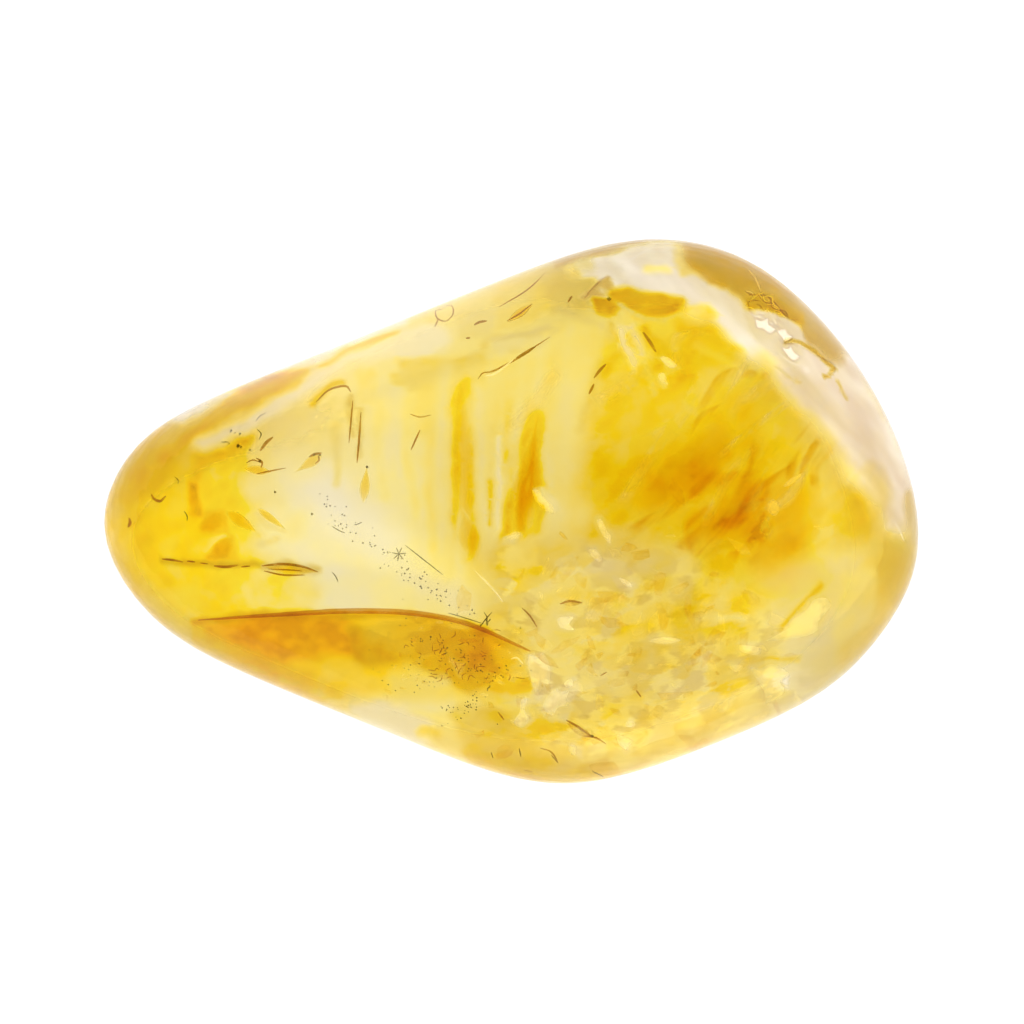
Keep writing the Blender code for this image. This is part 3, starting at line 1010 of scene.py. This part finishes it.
# The tangle of cracks on the far flank: how many, from where to where across, and its upper edge, how far
# that falls for each pixel to the right, and how far the tangle reaches under it.
TANGLE, TANGLE_LEFT, TANGLE_RIGHT = 34, 750, 792
TANGLE_TOP, TANGLE_FALL, TANGLE_HEIGHT = 292, 0.35, 26
NEEDLE = 0.6  # radius of a needle, in pixels
# The paths of the pale cracks, and the radius, in pixels, and the path of each brown streak.
PALE_CRACKS = (
    ((749, 270), (756, 279), (761, 292)), ((778, 352), (790, 362), (806, 367), (821, 369), (832, 380)),
    ((839, 382), (844, 388), (848, 397)), ((777, 367), (783, 371), (789, 377)), ((790, 375), (795, 382)),
    ((792, 342), (808, 350), (822, 361)), ((860, 474), (865, 483)), ((892, 519), (899, 529), (904, 541)),
    ((511, 659), (517, 658), (523, 664)), ((474, 570), (492, 588), (503, 602)),
    ((485, 376), (494, 374), (504, 367), (513, 360)), ((625, 263), (637, 256), (648, 249)),
)
BROWN_STREAKS = (
    (1.3, (162, 559), (172, 560), (183, 562)), (1.0, (187, 561), (195, 562)),
    (1.6, (214, 566), (226, 567), (238, 565)), (0.9, (241, 567), (250, 566)), (0.7, (200, 563), (208, 564)),
    (1.5, (262, 566), (280, 564), (300, 566), (318, 572)), (1.1, (264, 571), (283, 575), (305, 575)),
    (0.8, (268, 569), (290, 570), (302, 571)), (1.8, (273, 437), (266, 443), (260, 451)),
    (1.6, (151, 494), (154, 499), (160, 501), (166, 496)), (2.0, (129, 518), (130, 523), (128, 527)),
    (1.4, (316, 402), (329, 390), (345, 386), (351, 392)), (1.0, (353, 400), (351, 420), (349, 443)),
    (1.2, (361, 412), (359, 440), (357, 463)),
    (1.0, (478, 379), (483, 373), (493, 371), (511, 362), (527, 353), (536, 346), (550, 337)),
    (1.2, (545, 273), (527, 290), (499, 307)), (1.1, (507, 321), (519, 314), (532, 304)),
    (2.0, (474, 325), (480, 322), (487, 321)), (1.4, (466, 338), (470, 338)),
    (1.3, (516, 358), (526, 352), (536, 346)), (1.2, (568, 302), (572, 296)),
    (1.6, (594, 378), (600, 370), (606, 364)), (1.4, (589, 394), (594, 384)),
    (1.2, (584, 299), (594, 287), (604, 278), (612, 276)), (1.8, (643, 332), (650, 342), (656, 352)),
    (0.7, (246, 463), (253, 460), (262, 463)), (0.8, (256, 474), (270, 471), (286, 468)),
    (1.4, (309, 457), (315, 454), (322, 453)), (0.8, (318, 455), (319, 460), (315, 464)),
    (1.0, (256, 458), (262, 462), (261, 468)), (0.8, (410, 414), (420, 417), (431, 415)),
    (1.0, (420, 430), (411, 450)),
    (0.9, (444, 303), (436, 309), (437, 318), (446, 321), (453, 314), (452, 306), (445, 303)),
    (1.0, (438, 319), (435, 327)),
    (1.5, (778, 338), (784, 343), (798, 345), (810, 353), (826, 360), (835, 366), (833, 379)),
    (0.9, (813, 369), (822, 370), (828, 376)), (1.0, (522, 608), (530, 616), (537, 627)),
    (1.4, (560, 604), (570, 601), (582, 603)), (0.9, (636, 690), (641, 697)), (0.8, (600, 676), (607, 672)),
    (1.2, (586, 736), (596, 738), (606, 744)), (1.6, (566, 720), (578, 727), (592, 737)),
    (1.0, (498, 712), (504, 720)), (1.0, (540, 748), (551, 752), (558, 762)), (0.9, (524, 770), (533, 772)),
    (1.2, (747, 300), (752, 314), (765, 322), (782, 328)),
    (1.2, (760, 292), (772, 300), (786, 316), (797, 322)),
)


def make_wedge(inside):
    """The amber wedge by the near flank: a crack that dives from a crisp edge under the skin."""
    edge = curve(
        (186, 621), (258, 616), (307, 613), (347, 611), (400, 612), (445, 618), (479, 628), (519, 646),
        (540, 656),
    )
    foot = curve(
        (215, 652), (270, 684), (320, 703), (370, 712), (420, 712), (455, 712), (490, 705), (520, 700),
        (540, 690),
    )
    sheet = Heap("wedge_film", inside)
    sheet.veil(edge, foot, (0.9, 4.5), columns=60, rows=20, wave=0.4)
    sheet.build(
        film, (0.95, 0.62, 0.06), (0.99, 0.86, 0.10), 0.03, grain=260.0, cover=(0.1, 0.35),
        across=((0.0, 1.0), (0.35, 0.9), (0.75, 0.45), (1.0, 0.0)),
    )
    rim = Heap("wedge_rim", inside)
    rim.thread(edge[1:-3], 3.4, depth=0.85, sides=8)
    rim.build(film, (0.66, 0.38, 0.14), (0.88, 0.68, 0.38), 0.12, grain=400.0, cover=(0.1, 0.4))


def make_bands(inside):
    """The upright bands in the middle, the flame among them, and the deep colour of the heart."""
    gold = Heap("gold_bands", inside)
    gold.pillow(leaf((460, 376), (469, 556), 22), 2.2, 1.6, rings=5, edge=1.0)
    gold.pillow(leaf((461, 505), (476, 562), 24, 0.6), 1.8, 1.8, rings=5, edge=1.0)
    gold.pillow(oval((193, 499), 14, 5, 95), 1.6, 1.4)
    gold.pillow(oval((211, 523), 12, 9, 20, 0.12), 1.8, 1.4)
    gold.pillow(oval((222, 548), 13, 10, 45, 0.12), 1.6, 1.4)
    gold.pillow(leaf((612, 300), (684, 306), 14), 1.3, 0.9, rings=5, edge=1.0)
    gold.build(amber, 900.0)
    flame = Heap("flame", inside)
    flame.pillow(leaf((538, 412), (519, 542), 32, 0.66), 1.9, 2.0, rings=6, edge=1.0)
    flame.pillow(leaf((538, 430), (519, 536), 18, 0.72), 3.5, 1.4, rings=6, edge=1.0)
    flame.build(amber, 1200.0)
    core = Heap("core", inside)
    core.pillow(oval((740, 512), 42, 24, 38, 0.12), 3.4, 2.6, rings=5)
    core.pillow(oval((690, 470), 60, 26, 40, 0.12), 4.2, 2.4, rings=5)
    core.pillow(oval((800, 520), 40, 24, 60, 0.12), 4.0, 2.2, rings=5)
    core.build(amber, 500.0)


def scattered(shuffle, middle, spread):
    """A random place near this middle, its spread given for either way."""
    return shuffle.gauss(middle[0], spread[0]), shuffle.gauss(middle[1], spread[1])


def make_crumbs(inside):
    """The crumbly mass of little cracks by the near corner."""
    shuffle = random.Random(7)
    heaps = {name: Heap(name, inside) for name in CRUMBS}
    names = [name for name, (share, *_) in CRUMBS.items() for _ in range(share)]
    for count, middle, spread, size in SWARMS:
        for _ in range(count):
            spot = inside.point(*scattered(shuffle, middle, spread), shuffle.uniform(*CRUMB_DEPTHS))
            lean = scattered(shuffle, (0, 0), (CRUMB_LEAN, CRUMB_LEAN))
            normal = Vector((*lean, 1)).normalized()
            heap = heaps[shuffle.choice(names)]
            heap.chip(spot, normal, shuffle.uniform(*size), shuffle)
    for name, (_, colour, tint, body, glow, cover) in CRUMBS.items():
        heaps[name].build(film, colour, tint, body, glow, cover=cover, smooth=False)


def make_feathers(inside):
    """Slanting wisps in the heart of the stone."""
    shuffle = random.Random(21)
    gold, cream = Heap("gold_wisps", inside), Heap("cream_wisps", inside)
    count, heart, spread = FEATHERS
    for _ in range(count):
        middle = np.array(scattered(shuffle, heart, spread))
        turn = math.radians(shuffle.gauss(FEATHER_TURN, FEATHER_TURN_SPREAD))
        length, width = shuffle.uniform(*FEATHER_LENGTHS), shuffle.uniform(*FEATHER_WIDTHS)
        way = np.array((math.cos(turn), -math.sin(turn)))
        side = np.array((math.sin(turn), math.cos(turn)))
        bend = side * shuffle.gauss(0, FEATHER_BEND)
        spine = [middle + way * length * share / 2 for share in (-1, 0, 1)]
        upper, lower = (
            curve(*(spot + side * width / 2 * sign + bend * arch for spot, arch in zip(spine, (0, 1, 0))))
            for sign in (-1, 1)
        )
        if not all(inside.shows(*spot) for spot in (upper[0], upper[-1], lower[0], lower[-1])):
            continue
        depth = shuffle.uniform(*FEATHER_DEPTHS)
        heap = gold if shuffle.random() < GOLD_FEATHERS else cream
        depths = (depth, depth + shuffle.gauss(0, 0.6))
        heap.veil(upper, lower, depths, columns=20, rows=7, wave=0.3, seed=depth)
    strands = {
        "grain": 1.0, "stretch": (300, 1300, 300), "turn": FEATHER_TURN, "cover": (0.4, 0.6),
        "across": ((0.0, 0.0), (0.3, 1.0), (0.6, 0.8), (1.0, 0.0)),
    }
    gold.build(film, (0.97, 0.72, 0.14), (0.97, 0.84, 0.30), 0.08, **strands)
    # The cream wisps' glow is a painted glint.
    cream.build(film, (1.0, 0.95, 0.75), (1, 0.98, 0.9), 0.4, 0.2, **strands)


def make_flakes(inside):
    """The flakes, chips and small lenses that stand out one by one."""
    for name, (places, colour, tint, body, glow) in FLAKES.items():
        flakes = Heap(name, inside)
        for corners, depth in places:
            flakes.pillow(rounded(corners), depth, 0.12, tilt=FLAKE_LEAN, rings=2)
        flakes.build(film, colour, tint, body, glow, grain=900.0, cover=(0.15, 0.5))
    chips, rims = Heap("white_chips", inside), Heap("chip_rims", inside)
    for corners in WHITE_CHIPS:
        chips.pillow(rounded(corners, 2), 0.3, 0.1, rings=2, edge=0.2)
        rims.thread(rounded(corners + corners[:1]), 1.0, depth=0.3)
    # The white chips' glow is a painted glint.
    chips.build(film, (1, 0.98, 0.93), (1, 1, 1), 0.9, 0.6, cover=(0.1, 0.4))
    rims.build(film, (0.55, 0.35, 0.12), (0.72, 0.52, 0.24), 0.35, cover=(0.15, 0.45))
    tan, lenses = Heap("tan_lenses", inside), Heap("amber_lenses", inside)
    for outline in TAN_LENSES:
        tan.pillow(outline, 1.0, 0.25)
    tan.build(film, (0.74, 0.56, 0.26), (0.93, 0.83, 0.58), 0.12, cover=(0.2, 0.6))
    for outline in AMBER_LENSES:
        lenses.pillow(outline, 0.9, 0.4, rings=4)
    lenses.build(amber, 5000.0, ior=1.02)


def make_needles(inside, shuffle):
    """Stars and needles, and specks one by one, in trails and in a swarm by the wedge."""
    needles = Heap("needles", inside)
    for (x, y), count, reach in STARS:
        for k in range(count):
            angle = 2 * math.pi * (k + 0.5 * shuffle.random()) / count
            end = (x + reach * math.cos(angle), y - reach * math.sin(angle))
            needles.thread([(x, y), ((x + end[0]) / 2, (y + end[1]) / 2), end], NEEDLE)
    for path in NEEDLES:
        needles.thread(curve(*path), NEEDLE)
    for x, y, radius in SPECKS:
        needles.dot(x, y, radius)
    for count, *path in TRAILS:
        path = curve(*path)
        for _ in range(count):
            x, y = scattered(shuffle, path[shuffle.randrange(len(path))], TRAIL_SPREAD)
            needles.dot(x, y, shuffle.uniform(*TINY), shuffle.uniform(*JUST_UNDER))
    count, middle, spread = WEDGE_SPECKS
    for _ in range(count):
        x, y = scattered(shuffle, middle, spread)
        needles.dot(x, y, shuffle.uniform(*TINIEST), shuffle.uniform(*JUST_UNDER))
    needles.build(dark, (0.12, 0.08, 0.02), smooth=False)


def bent(middle, turn, reach, bend, per_step=6):
    """A short path that bends by a share of its reach to one side of the middle. Turn is in radians."""
    middle = np.array(middle)
    way = np.array((math.cos(turn), math.sin(turn))) * reach
    aside = np.array((-way[1], way[0])) * bend
    return curve(middle - way, middle + aside, middle + way, per_step=per_step)


def make_cracks(inside, shuffle):
    """Brown streaks and pale cracks, a tangle of both on the far flank, and the crackle of the wedge."""
    streaks, pale = Heap("brown_streaks", inside), Heap("pale_cracks", inside)
    for path in PALE_CRACKS:
        pale.thread(curve(*path), radius=1.1, depth=0.5)
    for radius, *path in BROWN_STREAKS:
        streaks.thread(curve(*path), radius, depth=0.6)
    for _ in range(TANGLE):
        x, y = shuffle.uniform(TANGLE_LEFT, TANGLE_RIGHT), shuffle.uniform(0, TANGLE_HEIGHT)
        y += TANGLE_TOP + (x - TANGLE_LEFT) * TANGLE_FALL
        turn, reach = shuffle.gauss(0.5, 0.5), shuffle.uniform(3, 9)
        path = bent((x, y), turn, reach, shuffle.gauss(0, 0.4))
        heap = streaks if shuffle.random() < 0.5 else pale
        heap.thread(path, radius=0.8, depth=0.4)
    count, crackle, spread = WEDGE_CRACKLE
    for _ in range(count):
        middle = scattered(shuffle, crackle, spread)
        turn, reach = shuffle.uniform(0, math.pi), shuffle.uniform(1.5, 4.5)
        path = bent(middle, turn, reach, shuffle.gauss(0, 0.5), per_step=3)
        streaks.thread(path, radius=0.5, depth=0.4)
    streaks.build(film, (0.50, 0.28, 0.08), (0.76, 0.56, 0.28), 0.2, cover=(0.15, 0.45))
    # The pale cracks' glow is a painted glint.
    pale.build(film, (1, 0.97, 0.86), (1, 1, 0.95), 0.8, 0.3, cover=(0.1, 0.4))


# ---------------------------------------------------------------- stage

FLOOR_SIDE = 0.9
FLOOR_GAP = 0.02  # under the stone, in millimetres, so that the two never share a plane
BOUNCES = 16

HORIZON, ZENITH = 0.85, 0.45  # radiance of the dome there
DARKENS = (0.70, 0.93)  # height on the dome, as a sine, where it starts and has finished getting darker
# Soft lamps on the studio's dome: name, direction in degrees from +X, elevation, reach in degrees, radiance.
LAMPS = (
    ("right", 48, 18, 50, 0.5),
    ("back", 104, 48, 40, 1.5),
    ("front_left", 222, 44, 24, 1.6),
    ("low_right", 5, 10, 75, 0.7),
    ("near_right", 330, 20, 50, 1.0),
)


def make_floor():
    bpy.ops.mesh.primitive_plane_add(size=FLOOR_SIDE, location=(0, 0, -FLOOR_GAP * MM))
    floor = bpy.context.object
    floor.name = "floor"
    floor.data.materials.append(pale_floor())


def make_camera():
    camera = new_object("camera", bpy.data.cameras.new("camera"))
    camera.data.lens = camera.data.sensor_width * (EYE.z - GIRDLE * MM) / (PHOTO * PIXEL)
    camera.data.clip_end = 10
    camera.data.shift_x = (PHOTO / 2 - MIDDLE[0]) / PHOTO
    camera.data.shift_y = (MIDDLE[1] - PHOTO / 2) / PHOTO
    camera.location = EYE
    bpy.context.scene.camera = camera


def toward(azimuth, elevation):
    turn, rise = math.radians(azimuth), math.radians(elevation)
    return Vector((math.cos(turn) * math.cos(rise), math.sin(turn) * math.cos(rise), math.sin(rise)))


def make_light():
    """A dome that is bright low down and dark overhead, with soft-edged lamps on it."""
    world = bpy.data.worlds.new("studio")
    world.use_nodes = True
    nodes = Nodes(world.node_tree)
    direction = nodes.add("TexCoord")
    height = nodes.add("SeparateXYZ", direction, output=2)
    smooth = {"interpolation_type": "SMOOTHSTEP"}
    total = nodes.add("MapRange", height, *DARKENS, HORIZON, ZENITH, settings=smooth)
    for name, azimuth, elevation, reach, radiance in LAMPS:
        lamp = toward(azimuth, elevation)
        facing = nodes.add("VectorMath", direction, lamp, output=1, settings={"operation": "DOT_PRODUCT"})
        rim = math.cos(math.radians(reach))
        soft = {"interpolation_type": "SMOOTHERSTEP", "label": name}
        glow = nodes.add("MapRange", facing, rim, 1.0, 0.0, radiance, settings=soft)
        total = nodes.math("ADD", total, glow)
    background = world.node_tree.nodes["Background"]
    nodes.join((1, 1, 1), background.inputs["Color"])
    nodes.join(total, background.inputs["Strength"])
    world.cycles.sampling_method = "NONE"
    bpy.context.scene.world = world


def set_look():
    scene = bpy.context.scene
    scene.view_settings.view_transform = "Standard"
    scene.cycles.max_bounces = BOUNCES
    scene.cycles.transmission_bounces = BOUNCES
    scene.cycles.glossy_bounces = BOUNCES
    scene.cycles.transparent_max_bounces = BOUNCES


set_look()
make_camera()
make_light()
make_floor()
inside = Inside(make_stone())
make_wedge(inside)
make_bands(inside)
make_crumbs(inside)
make_feathers(inside)
make_flakes(inside)
shuffle = random.Random(3)
make_needles(inside, shuffle)
make_cracks(inside, shuffle)
